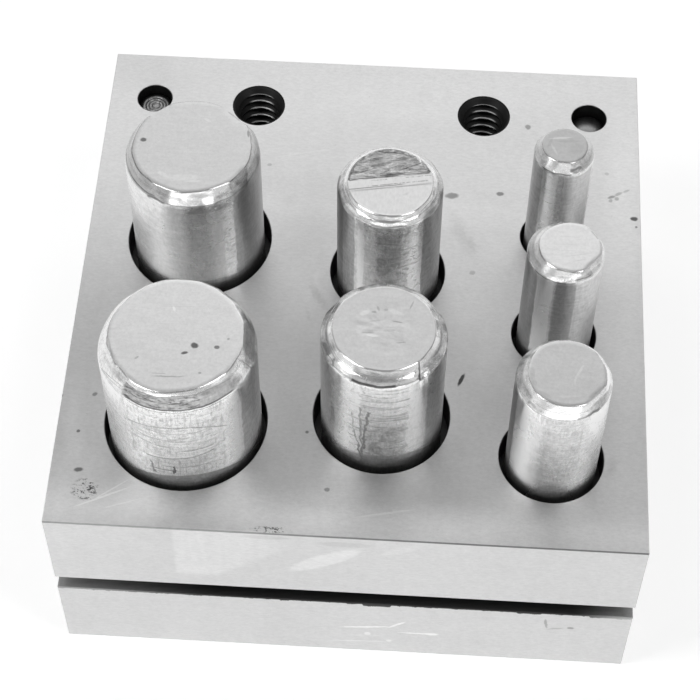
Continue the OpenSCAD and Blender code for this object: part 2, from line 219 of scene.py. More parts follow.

# How dark (above 0) or bright (below 0) each part of a shoulder is, as painted reflections, mostly bright
# towards the front and dark to the sides and back: from, to and softness in degrees, strength.
SHOULDER_TONES = {
    1: ((-200, -44, 4, 0.26), (-40, 12, 3, -0.25), (14, 36, 4, 0.15), (38, 200, 4, 0.26)),
    2: ((-200, -44, 4, 0.24), (-38, 14, 3, -0.25), (16, 42, 3, 0.32), (60, 200, 4, 0.15)),
    3: ((-200, -52, 4, 0.2), (-46, 28, 3, -0.25), (36, 80, 4, 0.28)),
    4: ((-200, -60, 6, 0.15), (-50, 42, 4, -0.2), (50, 200, 4, 0.22)),
    5: ((-200, -64, 3, 0.34), (-58, 36, 4, -0.22), (48, 200, 4, 0.22)),
    6: ((-200, -17, 5, 0.42), (-13, 40, 2, -0.34), (44, 200, 3, 0.4)),
    7: ((-200, -40, 8, 0.16), (52, 69, 4, 0.1), (79, 200, 2, 0.34)),
}
# The rolled rim next to the face: how far down it reaches, and how much brighter its painted highlight
# makes it.
RIM_REACH = 0.9
RIM_SHINES = {1: 0.06, 2: 0.18, 3: 0.28, 4: 0.24, 5: 0.28, 6: 0.06, 7: 0.12}
# Fine grain of each side, as a share of its brightness.
SIDE_GRAIN = {1: 0.34, 2: 0.34, 3: 0.40, 4: 0.50, 5: 0.42, 6: 0.28, 7: 0.42}

# Blots, dark above 0 and bright below: place, half sizes, degrees turned, strength.
# On each struck face, with places from its middle:
FACE_MARKS = {
    1: (((-1, 2), (2.3, 0.25), 8, -0.25), ((-3.9, -3.2), (1.5, 0.35), -38, -0.22),
        ((-2.3, -1.2), (0.25, 1.5), 24, -0.15), ((-3.2, 0.6), (0.3, 1.6), -20, 0.1),
        ((0.6, 1.2), (2.2, 0.3), 4, 0.1), ((2.4, -0.8), (1.8, 1.2), 30, 0.06)),
    2: (((1.8, -2.3), (2.4, 0.12), 12, 0.1), ((0.2, -1.2), (2, 0.1), 4, 0.07),
        ((2.4, -3.6), (1.2, 0.12), 14, 0.12), ((-1, 0.3), (2.6, 0.12), 2, 0.05),
        ((0.5, 2.3), (2.2, 0.1), -3, 0.05)),
    3: (((2.9, 0.6), (0.25, 1.6), -28, -0.14), ((2, -1.4), (0.22, 1), -8, -0.12),
        ((-6.3, -0.6), (0.5, 1.4), 0, 0.1), ((-5.9, -2.6), (0.4, 0.7), 20, 0.12),
        ((-4, -5.2), (1.4, 0.4), -30, 0.12), ((-6.8, 1.6), (0.25, 0.8), 0, -0.12),
        ((1, -5.4), (2.4, 0.25), 6, -0.08)),
    5: (((-2.2, 3.9), (0.5, 0.25), 0, 0.3), ((-1.4, 4.8), (0.25, 0.6), 20, 0.25),
        ((0.2, 4.6), (0.4, 0.3), 0, 0.2), ((2.6, 1.8), (1.1, 0.16), -10, 0.32),
        ((-3.2, -1.1), (1.2, 0.14), 6, 0.22), ((-2.2, -1.7), (1.3, 0.3), -4, -0.22),
        ((3.4, -3.1), (1, 0.14), 6, 0.24), ((5.2, 6), (0.16, 1.1), -20, 0.25),
        ((-4, 3.6), (1.2, 0.5), 30, -0.14), ((2, 4.2), (1.6, 0.5), -24, -0.09),
        ((4.2, 1.2), (0.8, 1.2), 30, -0.05), ((-4.4, -0.5), (1.1, 1.6), 20, -0.05),
        ((-1.6, 1.9), (1.4, 0.2), 12, 0.14), ((1, -0.4), (1.2, 0.3), 5, 0.12)),
    6: (((-10.3, 1), (0.65, 0.55), 0, 0.7), ((2.6, 7.2), (0.9, 0.3), -30, -0.12),
        ((-1.2, -8.6), (3.6, 0.8), 4, -0.1), ((-5.2, -8), (1.2, 0.5), -30, -0.12),
        ((1.4, -9.4), (1.6, 0.3), 8, -0.12), ((11.6, 4), (0.3, 0.9), 8, 0.45)),
    7: (((3.9, -2.5), (0.75, 0.62), 0, 0.78), ((2.1, -4.3), (0.7, 0.3), 14, 0.75),
        ((8.3, -2.6), (0.5, 0.38), 0, 0.65), ((10.4, -0.5), (0.28, 0.25), 0, 0.35),
        ((5.6, -8.8), (0.3, 0.25), 0, 0.35), ((-7.1, -6), (0.5, 0.2), 40, 0.28),
        ((-0.9, -10), (2.3, 0.16), 2, 0.35), ((-2.4, -9.4), (1.6, 0.1), 0, 0.22),
        ((1.6, -9.9), (1.2, 0.12), 10, 0.28), ((0.7, 6.7), (4.5, 0.1), 2, 0.08),
        ((-1, 6.1), (0.25, 0.7), 20, -0.18), ((-1.4, 2.4), (4, 0.12), 2, 0.06),
        ((-9.6, -9.6), (2.2, 0.14), -42, 0.22), ((-12.2, -5), (0.14, 4), 16, 0.16)),
}
BATTER_MARKS = (
    ((-6.1, 6), (0.55, 0.45), 0, 0.55), ((6.8, 5.8), (0.45, 0.45), 0, 0.6),
    ((4, 4.2), (3.2, 0.14), 27, 0.6), ((-3.2, 4.8), (1.8, 1.3), 20, 0.3),
    ((-7.6, 1.8), (0.9, 0.5), 30, 0.4), ((0.8, 2), (2.4, 0.35), 14, 0.5),
    ((-1, 2.7), (0.9, 0.25), 40, 0.35), ((-5, 2.6), (2.4, 0.14), 24, 0.45),
    ((7, 2.9), (1.8, 0.2), 14, 0.35), ((-1.5, 7.8), (3.6, 0.12), 4, 0.4), ((2.6, 7.2), (3, 0.12), -14, 0.4),
    ((-4.9, 7.2), (0.9, 0.2), 40, 0.35), ((0.1, 3.3), (0.6, 0.35), 50, -0.25),
    ((3.4, -3.4), (0.7, 0.3), 30, 0.1), ((2, 5.8), (2.2, 0.2), 10, -0.15),
)
# How much light the clean sides and struck faces give back, and how strong the faces' turned rings are.
BATTER_TONE = 0.745
SIDE_TONES = {1: 0.74, 2: 0.74, 3: 0.78, 4: 0.80, 5: 0.81, 6: 0.75, 7: 0.88}
FACE_TONES = {1: 0.51, 2: 0.80, 3: 0.66, 5: 0.69, 6: 0.675, 7: 0.79}
RING_TONES = {1: 0.05, 2: 0.02, 3: 0.03, 5: 0.03, 6: 0.01, 7: 0.015}

# On the top of the guide plate, sharp specks:
TOP_SPECKS = (
    ((-61.7, -33.1), (0.5, 0.4), 0, 0.4), ((-54.6, -32.4), (0.6, 0.45), 30, 0.45),
    ((-56.9, -41.7), (0.4, 0.35), 0, 0.6), ((-55.6, -51), (0.9, 0.5), 10, 0.65),
    ((-9.2, -39.1), (0.4, 0.35), 0, 0.5), ((-4.2, -52.7), (0.55, 0.45), 0, 0.45),
    ((19, 25.5), (1.5, 0.8), 5, 0.45), ((29.9, 26.7), (0.8, 0.55), 0, 0.5),
    ((36, 46.8), (0.6, 0.7), 0, 0.4), ((55, 27.3), (0.9, 0.35), 20, 0.4),
    ((56.2, 26.9), (0.5, 0.5), 0, 0.3), ((56.6, 28.3), (1, 0.35), 30, 0.28),
    ((58.4, 29.3), (0.8, 0.3), 30, 0.22), ((54.8, 26.3), (0.5, 0.4), 60, 0.28),
    ((60, 21.4), (0.8, 0.6), 0, 0.75), ((60.4, 19.1), (0.3, 0.3), 0, 0.5),
    ((22.5, -24.1), (1.6, 0.4), 68, 0.8), ((24.2, 4.2), (0.7, 0.5), 20, 0.22),
    ((15, 29), (0.6, 0.4), 10, 0.25), ((-22.8, 32), (0.5, 0.4), 0, 0.2), ((54, 34), (0.5, 0.4), 0, 0.2),
)
# soft smudges, the broad bright ones along the front edge being painted light:
TOP_SMUDGES = (
    ((17, -50), (11, 7), 15, 0.13), ((33, -54), (3, 7), 0, 0.08), ((-10.5, -20), (5, 26), 0, 0.05),
    ((21.3, 15), (1.2, 6), 22, 0.1), ((23.8, 12), (0.9, 2.4), 25, 0.14),
    ((-9.2, -4.2), (0.9, 4.2), 32, 0.2), ((-11, -9.5), (0.5, 3), 20, 0.12), ((23, -42), (1.2, 3), 20, 0.1),
    ((54, -44), (0.8, 2), -20, 0.12), ((-56, 58), (9, 6), -20, 0.06), ((26, -30), (4.5, 22), 0, 0.04),
    ((57.5, -24), (4, 30), 0, -0.09), ((-17, 22), (2.4, 1.6), 5, 0.07), ((-9, 8), (8, 20), 0, 0.09),
    ((-59, 32), (6, 22), 0, -0.1), ((-12, -42), (7, 12), 0, 0.13), ((-59, -8), (6, 46), 0, 0.07),
    ((5, 54), (40, 7), 9, -0.04), ((5, 20.5), (40, 3.4), 0, -0.05), ((57.5, 22), (4, 26), -4, -0.1),
    ((-40, -59.5), (24, 4.6), 2, -0.15), ((2, -60), (26, 4), 0, -0.17), ((-58, -57), (5, 9), 0, -0.14),
    ((12, 50), (16, 4), 5, -0.05), ((-57.5, -45), (2, 12), 8, -0.12), ((-20, -56), (10, 2), -6, -0.08),
    ((-2, -54.5), (12, 2.4), 8, -0.08), ((45, -60.5), (18, 3), 0, -0.07),
)
# and fine scratches:
TOP_SCRATCHES = (
    ((-50.1, -57.2), (5.6, 0.22), 26, 0.22), ((-48.2, -55.2), (3.6, 0.18), 38, 0.2),
    ((8, -57.5), (6, 0.25), 12, 0.14), ((-46, -58.5), (4, 0.15), 20, 0.12),
    ((12, 30.5), (3, 0.12), 40, 0.06), ((-15, 36), (6, 0.2), 14, 0.06),
)

# Scuffed places at the front corner and edge: place and half sizes.
SCUFFS = (((-53.7, -55.6), (2.6, 2.4)), ((-15.2, -62.7), (3.6, 0.7)))
# Chips in the die plate's upper front edge: from, to, and how much deeper the painted shade runs there.
EDGE_CHIPS = (
    ((4.2, 9.8), 0.75), ((37.2, 41.8), 0.35), ((52.5, 61), 0.45), ((-46, -44.5), 0.2), ((-13.5, -12), 0.25),
)
# Bright scratches on the die plate's front: place, half sizes, degrees turned, strength.
DIE_SCRATCHES = (
    ((4.9, 11.6), (5.2, 0.34), -7, 1), ((11.5, 13.4), (2.3, 0.36), -40, 1),
    ((16.4, 9.7), (4.2, 0.26), 0, 0.9), ((19, 9.7), (1.5, 0.55), 0, 1), ((5.2, 8.3), (0.7, 0.8), 0, 0.6),
    ((9.9, 5.4), (0.6, 0.5), 0, 0.6), ((4, 4.6), (6, 0.25), -4, 0.4), ((4, 7.4), (4.5, 0.2), -5, 0.25),
)
# Dark ticks on both fronts, the same way.
DIE_TICKS = (
    ((43.4, 17.8), (0.3, 2), -8, 0.35), ((45.6, 15.6), (1.8, 0.3), -12, 0.22),
    ((48.8, 16.3), (0.75, 0.5), 0, 0.42),
)
GUIDE_TICKS = (((-16, 49.4), (5, 0.8), 0, 0.12), ((0, 48), (6, 1), 0, 0.1))


# ---------------------------------------------------------------- shader graphs

# How deep a flat blot reaches, how much more for its size, and how ragged the smallest one is.
BLOT_DEPTH = 1.0
BLOT_DEEPENING = 0.2
LEAST_JAG = 0.3
# The most light that any steel gives back.
BRIGHTEST = 0.96


class Reading:
    """A number read off the surface. Sums and products of readings add Math nodes to its finish."""

    def __init__(self, finish, socket):
        self.finish = finish
        self.socket = socket

    def math(self, operation, *values):
        return self.finish.node("ShaderNodeMath", {"operation": operation}, dict(enumerate(values)))

    def __add__(self, other):
        return self.math("ADD", self, other)

    def __sub__(self, other):
        return self.math("SUBTRACT", self, other)

    def __rsub__(self, other):
        return self.math("SUBTRACT", other, self)

    def __mul__(self, other):
        return self.math("MULTIPLY", self, other)

    def __truediv__(self, other):
        return self.math("DIVIDE", self, other)

    def __pow__(self, other):
        return self.math("POWER", self, other)

    def __abs__(self):
        return self.math("ABSOLUTE", self)

    __radd__ = __add__
    __rmul__ = __mul__

    def most(self, other):
        return self.math("MAXIMUM", self, other)

    def least(self, other):
        return self.math("MINIMUM", self, other)

    def rise(self, low, high):
        """0 below low, 1 above high and a smooth step between. With low above high it falls."""
        settings = {"interpolation_type": "SMOOTHSTEP"}
        inputs = {"Value": self, "From Min": min(low, high), "From Max": max(low, high),
                  "To Min": float(low > high), "To Max": float(low <= high)}
        return self.finish.node("ShaderNodeMapRange", settings, inputs)

    def between(self, low, high, soft):
        """1 from low to high, fading to 0 over soft on both sides."""
        return self.rise(low - soft, low) * self.rise(high + soft, high)

    def near(self, value, reach):
        """1 close to that value, fading to 0 just past reach from it."""
        outer, inner = 1.3, 0.5
        return abs(self - value).rise(reach * outer, reach * inner)


def any_of(masks):
    """The strongest of some masks. A generator keeps few of them alive at once, as Cycles needs."""
    return reduce(Reading.most, masks)


def sum_of(readings):
    return reduce(Reading.__add__, readings)


class Finish:
    """A metal finish: one material, with its shader graph put together a node at a time."""

    def __init__(self, name, **constants):
        self.material = bpy.data.materials.new(name)
        self.material.use_nodes = True
        self.tree = self.material.node_tree
        self.shader = self.tree.nodes["Principled BSDF"]
        self.shader.inputs["Metallic"].default_value = 1.0
        for socket, value in constants.items():
            self.shader.inputs[socket.replace("_", " ")].default_value = value
        place = self.node("ShaderNodeTexCoord", output="Object")
        self.place = self.vector("SCALE", place, Scale=1 / MM)
        self.x, self.y, self.z = (self.node("ShaderNodeSeparateXYZ", {}, {0: self.place}, axis)
                                  for axis in "XYZ")

    def node(self, kind, settings=None, inputs=None, output=0):
        """Adds a node: its settings first, then the values or readings of its sockets."""
        made = self.tree.nodes.new(kind)
        for name, value in (settings or {}).items():
            setattr(made, name, value)
        for name, value in (inputs or {}).items():
            self.feed(made.inputs[name], value)
        return Reading(self, made.outputs[output])

    def feed(self, socket, value):
        if isinstance(value, Reading):
            self.tree.links.new(value.socket, socket)
        else:
            socket.default_value = value

    def vector(self, operation, *vectors, output="Vector", **inputs):
        return self.node("ShaderNodeVectorMath", {"operation": operation},
                         {**dict(enumerate(vectors)), **inputs}, output)

    def grain(self, size, detail=2.0, stretch=(1, 1, 1), at=(0, 0, 0), rough=0.5, warp=0.0):
        """Fractal noise from about -1 to 1, with features of that size in millimetres."""
        scale = tuple(1 / (size * s) for s in stretch)
        place = self.node("ShaderNodeMapping", {}, {"Vector": self.place, "Scale": scale, "Location": at})
        found = self.node("ShaderNodeTexNoise", {}, {
            "Vector": place, "Scale": 1.0, "Detail": detail, "Roughness": rough, "Distortion": warp})
        return found * 2 - 1

    def off(self, x, y):
        """The distance from an upright axis."""
        across, along = self.x - x, self.y - y
        return (across * across + along * along) ** 0.5

    def bearing(self, x, y):
        """Degrees round an upright axis from the front, more to the right."""
        return (self.x - x).math("ARCTAN2", self.x - x, y - self.y) * math.degrees(1)

    @cached_property
    def shake(self):
        """Three noises from 0 to 1, shared by all ragged edges."""
        return self.node("ShaderNodeTexNoise", {}, {
            "Vector": self.place, "Scale": 0.8, "Detail": 4.0, "Roughness": 0.65}, "Color")

    def blot(self, place, size, turn=(0, 0, 0), soft=0.3, ragged=0.25):
        """1 inside a ragged ellipsoid with those half sizes."""
        shaken = self.vector("MULTIPLY_ADD", self.shake, (2 * ragged,) * 3, (-ragged,) * 3)
        local = self.node("ShaderNodeMapping", {"vector_type": "TEXTURE"}, {
            "Vector": self.vector("ADD", self.place, shaken), "Location": place,
            "Rotation": tuple(math.radians(angle) for angle in turn), "Scale": size})
        return self.vector("LENGTH", local, output="Value").rise(1 + soft, 1 - soft)

    def flat_marks(self, table, height, middle=(0, 0), soft=0.3, ragged=0.35):
        """How dark the dark blots of a table are, and how bright the bright ones are."""
        found = {True: self.none, False: self.none}
        for (x, y), (long, wide), turn, strength in table:
            place = (middle[0] + x, middle[1] + y, height)
            deep = BLOT_DEPTH + max(long, wide) * BLOT_DEEPENING
            jag = ragged * min(1.0, LEAST_JAG + min(long, wide))
            mark = self.blot(place, (long, wide, deep), (0, 0, turn), soft, jag) * abs(strength)
            found[strength > 0] = found[strength > 0].most(mark)
        return found[True], found[False]

    @cached_property
    def none(self):
        return self.node("ShaderNodeValue")

    def finish(self, shade, roughness, relief=None, strength=0.1):
        """Feeds the shader a grey, a roughness and a relief height in millimetres."""
        grey = self.node("ShaderNodeCombineColor", {}, {"Red": shade, "Green": shade, "Blue": shade})
        self.feed(self.shader.inputs["Base Color"], grey)
        self.feed(self.shader.inputs["Roughness"], roughness)
        if relief is not None:
            bump = self.node("ShaderNodeBump", {}, {"Strength": strength, "Distance": MM, "Height": relief})
            self.feed(self.shader.inputs["Normal"], bump)
        return self.material


# ---------------------------------------------------------------- plates

def hole_mouths():
    """Each hole in the top of the guide plate: its axis and its radius, in millimetres."""
    for number in PUNCHES:
        x, y, radius, _ = span(f"punch_{number}")
        yield x, y, radius + RELIEFS[number]
    for screw in SCREWS:
        yield (*span(screw)[:2], TAPPED_RADIUS)
    for dowel in DOWEL_ENDS:
        yield (*span(dowel)[:2], DOWEL_HOLE_RADIUS)


# Where the holes' painted shade fades: off the wall, below the top and above the underside.
WALL_FADE = (0.2, 0.05)
TOP_FADE = (0.05, 0.15)
FOOT_FADE = (0.08, 0.25)
# How dark the holes' painted shade is, how much darker in the holes at the back, and where those begin.
HOLE_SHADE = 0.86
BACK_HOLE_SHADE = 0.095
BACK_ROW = (38, 42)
# The painted glint at the back of the thread crests: how it fades outwards, its middle and sides, and its
# brightness.
CREST_FADE = (0.35, 0.1)
CREST_MIDDLE = 0.6
CREST_SLOPE = 0.9
CREST_START = (0.6, 2.6)
CREST_SHINE = 0.50


def painted_crest_glint(f, x, y):
    """1 at the back of the thread crests round an axis, where a glint is painted."""
    at_crest = f.off(x, y).rise(*(THREAD_CREST + fade for fade in CREST_FADE))
    return at_crest * (f.y - y - abs(f.x - x - CREST_MIDDLE) * CREST_SLOPE).rise(*CREST_START)


def hole_shade_and_glint(f):
    """Painted shade on the walls inside every hole, and a painted glint on the thread crests at the back.
    """
    clear = reduce(Reading.least, (f.off(x, y) - radius for x, y, radius in hole_mouths()))
    wall = (clear.rise(*WALL_FADE) * f.z.rise(*(BLOCK_TOP - fade for fade in TOP_FADE))
            * f.z.rise(*FOOT_FADE))
    crest = any_of(painted_crest_glint(f, *span(screw)[:2]) for screw in SCREWS)
    return wall * (f.y.rise(*BACK_ROW) * BACK_HOLE_SHADE + HOLE_SHADE), crest * wall


# The painted shade in the throat: its darkness, how far it reaches down the die plate, its ragged edge,
# how far back the chips in that edge reach, and how much lighter each end is, where light gets in
# (from, to and share).
THROAT_SHADE = 0.89
THROAT_SHADE_DROP = (0.35, 0.15)
BURR_STEP = (-0.1, 0.5)
BURR_HEIGHT = 0.5
CHIP_SOFTNESS = 0.4
CHIP_REACH = (3, 1)
LIT_ENDS = ((-25, -61, 0.6), (48, 61, 0.62))
UNDERSIDE_FADE = 0.1


def throat_shade(f):
    """Painted shade in the throat between the plates, running raggedly over the die plate's burred front
    edge.
    """
    burr = f.grain(2.6, detail=5, stretch=(1, 9, 9), rough=0.8)
    chips = any_of(f.x.between(*chip, CHIP_SOFTNESS) * depth for chip, depth in EDGE_CHIPS)
    height = (f.z + burr.rise(*BURR_STEP) * BURR_HEIGHT
              + chips * f.y.rise(*(BLOCK_FRONT + reach for reach in CHIP_REACH)))
    shaded = height.rise(*(DIE_TOP - fade for fade in THROAT_SHADE_DROP))
    throat = shaded * f.z.rise(GUIDE_UNDERSIDE + UNDERSIDE_FADE, GUIDE_UNDERSIDE)
    share = 1
    for start, end, lightened in LIT_ENDS:
        share = share - f.x.rise(start, end) * lightened
    return throat * share


def front_blots(f, table, ragged):
    """Small marks on a front face."""
    return any_of(f.blot((x, BLOCK_FRONT, z), (long, 0.5, high), (0, turn, 0), ragged=ragged) * strength
                  for (x, z), (long, high), turn, strength in table)


# The washed patch on the guide plate's front: its foot, where that climbs and how steeply, its left
# edge, and where it ends at the right.
WASH_FOOT = (30.8, 33.0)
WASH_CLIMB_FROM = -27
WASH_CLIMB = 0.85
WASH_LEFT = (-35.6, -34.6)
WASH_RIGHT = (-9, -20)
WASH_STRENGTH = 0.8
# Two slashes beside it: place, half sizes, degrees turned.
SLASH = ((-4.0, BLOCK_FRONT, 40.9), (8.6, 0.6, 2.2), (0, -35, 0))
FAINT_SLASH = ((11.5, BLOCK_FRONT, 46.8), (4.4, 0.6, 1.2), (0, -30, 0))
FAINTNESS = 0.4
# Marks on the front end this far behind it.
FRONT_FADE = (0.8, 0.4)


def rubbed_front(f):
    """The bright patches on the guide plate's front."""
    waver = f.grain(3, detail=4, rough=0.6) * 1.2
    streaks = f.grain(2.2, detail=3, stretch=(1, 1, 9), at=(1, 0, 0)) * 0.5 + 0.85
    over = f.z + waver * 0.5 - (f.x - WASH_CLIMB_FROM).most(0) * WASH_CLIMB
    across = (f.x + waver * 0.5).rise(*WASH_LEFT)
    wash = over.rise(*WASH_FOOT) * across * f.x.rise(*WASH_RIGHT) * streaks
    slash = f.blot(*SLASH, soft=0.2, ragged=0.5)
    faint = f.blot(*FAINT_SLASH, soft=0.5, ragged=0.6) * FAINTNESS
    at_front = f.y.rise(*(BLOCK_FRONT + fade for fade in FRONT_FADE))
    front_only = at_front * f.z.rise(GUIDE_UNDERSIDE, GUIDE_UNDERSIDE + 1)
    return any_of([wash * WASH_STRENGTH, slash, faint]) * front_only


# How much each texture changes the brightness of the ground plates, and which noise becomes pits.
SMUDGES, STREAKS, MOTTLING, UPRIGHTS, FINE_GRAIN, PITTING = 0.05, 0.05, 0.06, 0.03, 0.15, 0.10
PIT_STEP = (0.42, 0.6)
PLATE_ROUGHNESS = 0.46
GRIME_ROUGHNESS = 0.2
PLATE_BUMP = 0.12


def ground_steel(f):
    """Surface-ground tool steel: the smudges on it, and its brightness, roughness and relief."""
    smudge = f.grain(34, detail=4, rough=0.6, warp=0.6)
    streak = f.grain(16, detail=4, stretch=(2.6, 0.8, 1), at=(3, 7, 0), rough=0.6)
    upright = f.grain(3.2, detail=3, stretch=(1, 6, 8), at=(2, 2, 0))
    mottle = f.grain(4, detail=5, rough=0.7)
    fine = f.grain(0.5, detail=3, stretch=(2, 1, 1), rough=0.7)
    pits = f.grain(0.8, detail=2, at=(5, 1, 2)).rise(*PIT_STEP)
    texture = (1 + smudge * SMUDGES + streak * STREAKS + mottle * MOTTLING + upright * UPRIGHTS
               + fine * FINE_GRAIN - pits * PITTING)
    roughness = PLATE_ROUGHNESS + smudge * 0.04 + mottle * 0.05
    return smudge, texture * PLATE_TONE, roughness, mottle * 0.02 + fine * 0.012


# The guide plate's top starts to be the top this far below it, and its painted shade deepens forwards,
# from and to these places, short of an unshaded rim at the front.
TOP_START = (0.6, 0.1)
SHADE_START = (30, -25)
SHADE_WAVER = 12
UNSHADED_RIM = (3, 12)
# The dark line along the top's front edge: its fading back and down, and its darkness at the left
# and how much more it is at the right.
LINE_BACK = (0.30, 0.2)
LINE_DOWN = (0.35, 0.2)
LINE_DARKNESS = 0.42
LINE_DARKENING = 0.25
LINE_SIDES = (-35, 10)
SCUFF_STEP = (0.02, 0.2)
SCUFF_DARKNESS = 0.85
RUBBED_SHINE = 0.14
SCRATCH_SHINE = 0.30


# Each plate has a finish of its own, because Cycles draws a shader graph black when it grows past
# about 75 blots.
def guide_plate_steel():
    """The upper plate: smudged and specked on top, with a rubbed front. Painted shade darkens its holes,
    its throat, its upright faces and its top towards the front; painted light brightens smudges along the
    top's front edge, and painted glints its thread crests.
    """
    f = Finish("guide_steel")
    smudge, shade, roughness, relief = ground_steel(f)
    wall, crest = hole_shade_and_glint(f)
    throat = throat_shade(f)
    brightened = rubbed_front(f)
    ticks = front_blots(f, GUIDE_TICKS, ragged=0.3)
    dark, _ = f.flat_marks(TOP_SPECKS, BLOCK_TOP)
    smudged, washed_and_lit = f.flat_marks(TOP_SMUDGES, BLOCK_TOP, soft=0.9, ragged=1.6)
    _, scored = f.flat_marks([(*mark[:3], -mark[3]) for mark in TOP_SCRATCHES], BLOCK_TOP, ragged=0.15)
    ticked = f.grain(0.9, detail=3, stretch=(1, 0.7, 1), rough=0.7).rise(*SCUFF_STEP)
    scuffs = any_of(f.blot((x, y, BLOCK_TOP), (*size, 0.5)) for (x, y), size in SCUFFS)
    scuffed = scuffs * ticked * SCUFF_DARKNESS

    upward = f.z.rise(*(BLOCK_TOP - start for start in TOP_START))
    shade_forwards = (f.y + smudge * SHADE_WAVER).rise(*SHADE_START)
    front_shade = shade_forwards * f.y.rise(*(BLOCK_FRONT + rim for rim in UNSHADED_RIM)) * upward * FRONT_SHADE_DEPTH
    edge = (f.y.rise(*(BLOCK_FRONT + fade for fade in LINE_BACK))
            * f.z.rise(*(BLOCK_TOP - fade for fade in LINE_DOWN))
            * (f.x.rise(*LINE_SIDES) * LINE_DARKENING + LINE_DARKNESS))
    # The bright smudges along the top's front edge are painted light.
    bright = 1 + brightened * RUBBED_SHINE + scored + washed_and_lit * upward
    # The upright faces are darkened with painted shade.
    shade = shade * bright * (1 - (1 - upward) * UPRIGHT_SHADE)
    # Painted shade: the top darker towards the front, the throat and the holes' walls.
    for darkening in (front_shade, smudged * upward, dark, scuffed, ticks, edge, throat * THROAT_SHADE, wall):
        shade = shade * (1 - darkening)
    # A painted glint at the back of the thread crests.
    shade = shade + crest * CREST_SHINE
    roughness = roughness + dark * GRIME_ROUGHNESS + throat * GRIME_ROUGHNESS - brightened * 0.05
    return f.finish(shade.least(BRIGHTEST), roughness, relief, PLATE_BUMP)


def die_plate_steel():
    """The lower plate: a scratched front, with painted shade all over it and darker along the throat and in
    its holes.
    """
    f = Finish("die_steel")
    _, shade, roughness, relief = ground_steel(f)
    wall, _ = hole_shade_and_glint(f)
    throat = throat_shade(f)
    scratches = front_blots(f, DIE_SCRATCHES, ragged=0.2)
    ticks = front_blots(f, DIE_TICKS, ragged=0.3)
    # The whole plate gets the upright faces' painted shade.
    shade = shade * (1 + scratches * SCRATCH_SHINE) * (1 - UPRIGHT_SHADE)
    # Painted shade along the throat and in the holes.
    for darkening in (ticks, throat * THROAT_SHADE, wall):
        shade = shade * (1 - darkening)
    return f.finish(shade.least(BRIGHTEST), roughness + throat * GRIME_ROUGHNESS, relief, PLATE_BUMP)


# ---------------------------------------------------------------- punch finishes

def side_textures(f, number):
    """The kinds of mark that wear leaves on a side, each from 0 to 1, and plain for even patches, most of
    them painted reflection bands.
    """
    def rings():
        turned = f.grain(0.8, detail=4, stretch=(26, 26, 1), at=(number, 0, number), rough=0.65)
        return turned.rise(0.0, 0.35)

    def hatch():
        return f.grain(0.8, detail=4, stretch=(1, 1, 7), at=(number, 5, 0), rough=0.65).rise(-0.05, 0.4)

    def fleck():
        specks = f.grain(1.2, detail=5, stretch=(1, 1, 0.6), at=(0, number, 3), rough=0.75, warp=0.6)
        return specks.rise(-0.05, 0.35)

    def cloud():
        return f.grain(5, detail=6, at=(number, 2, 1), rough=0.7, warp=1.0).rise(-0.3, 0.35)

    def scribble():
        return f.grain(0.9, detail=5, stretch=(3, 3, 0.5), rough=0.8).rise(-0.4, 0.3)

    return {"plain": lambda: 1.0, "rings": rings, "hatch": hatch, "fleck": fleck, "cloud": cloud,
            "scribble": scribble}


# How far the noise shakes the edges of the side's marks: degrees, then millimetres for patches and
# lines, then degrees for runs, then the share of an arch's darkness.
TURN_SHAKE = 3
PATCH_SHAKE = 0.35
LINE_SHAKE = 0.22
RUN_SHAKE = 5
ARCH_SHAKE = 0.25
# A line's drop is measured this many degrees from its middle.
DROP_TURN = 30
LINE_END_SOFTNESS = 3
RUN_END_SOFTNESS = 0.4


def side_wear_and_reflections(f, number, bearing):
    """How dark, and how bright, one punch's side is: wear's marks, with painted reflections in its tall
    plain bands and its mirrored foot arch, and a painted glint on the seventh punch's shoulder.
    """
    waver = f.grain(2.5, detail=4, at=(9, 9, number), rough=0.65)
    turn, height = bearing + waver * TURN_SHAKE, f.z + waver * PATCH_SHAKE
    make, made = side_textures(f, number), {}
    found = {True: f.none, False: f.none}

    def add(mark, strength):
        found[strength > 0] = found[strength > 0].most(mark * abs(strength))

    for kind, turns, heights, strength in SIDE_PATCHES[number]:
        if kind not in made:
            made[kind] = make[kind]()
        add(turn.between(*turns) * height.between(*heights) * made[kind], strength)
    for middle, peak, drop, low, high, thick, strength in SIDE_LINES[number]:
        away = (bearing - middle) / DROP_TURN
        line = (f.z + away * away * drop + waver * LINE_SHAKE).near(peak, thick)
        add(line * turn.between(low, high, LINE_END_SOFTNESS), strength)
    for low, low_turn, high, high_turn, width, strength in SIDE_RUNS.get(number, ()):
        course = (f.z - low) * ((high_turn - low_turn) / (high - low)) + low_turn
        run = (bearing - course + waver * RUN_SHAKE).near(0, width)
        add(run * f.z.between(low, high, RUN_END_SOFTNESS), strength)
    if number in FOOT_ARCHES:
        middle, crown, half_span, soft, strength = FOOT_ARCHES[number]
        away = (turn - middle) / half_span
        arch = away * away * -ARCH_RISE + crown
        shadow = (arch - f.z).rise(-soft, soft) * (waver * ARCH_SHAKE + strength)
        found[True] = found[True].most(shadow)
    return found[True], found[False]


# On the shoulders: how far noise shakes the degrees and the rim, how softly the shoulder and the
# rolled rim start, how dark the flecks are, and how far the rim's painted highlight clears the painted
# dark tones away.
SHOULDER_SHAKE = 4
RIM_SHAKE = 0.15
SHOULDER_START = 0.15
RIM_START = (0.25, -0.15)
FLECK_STEP = (0.12, 0.45)
FLECK_DARKNESS = 0.35
RIM_CLEARING = 3
SHINE_WAVER = 0.5


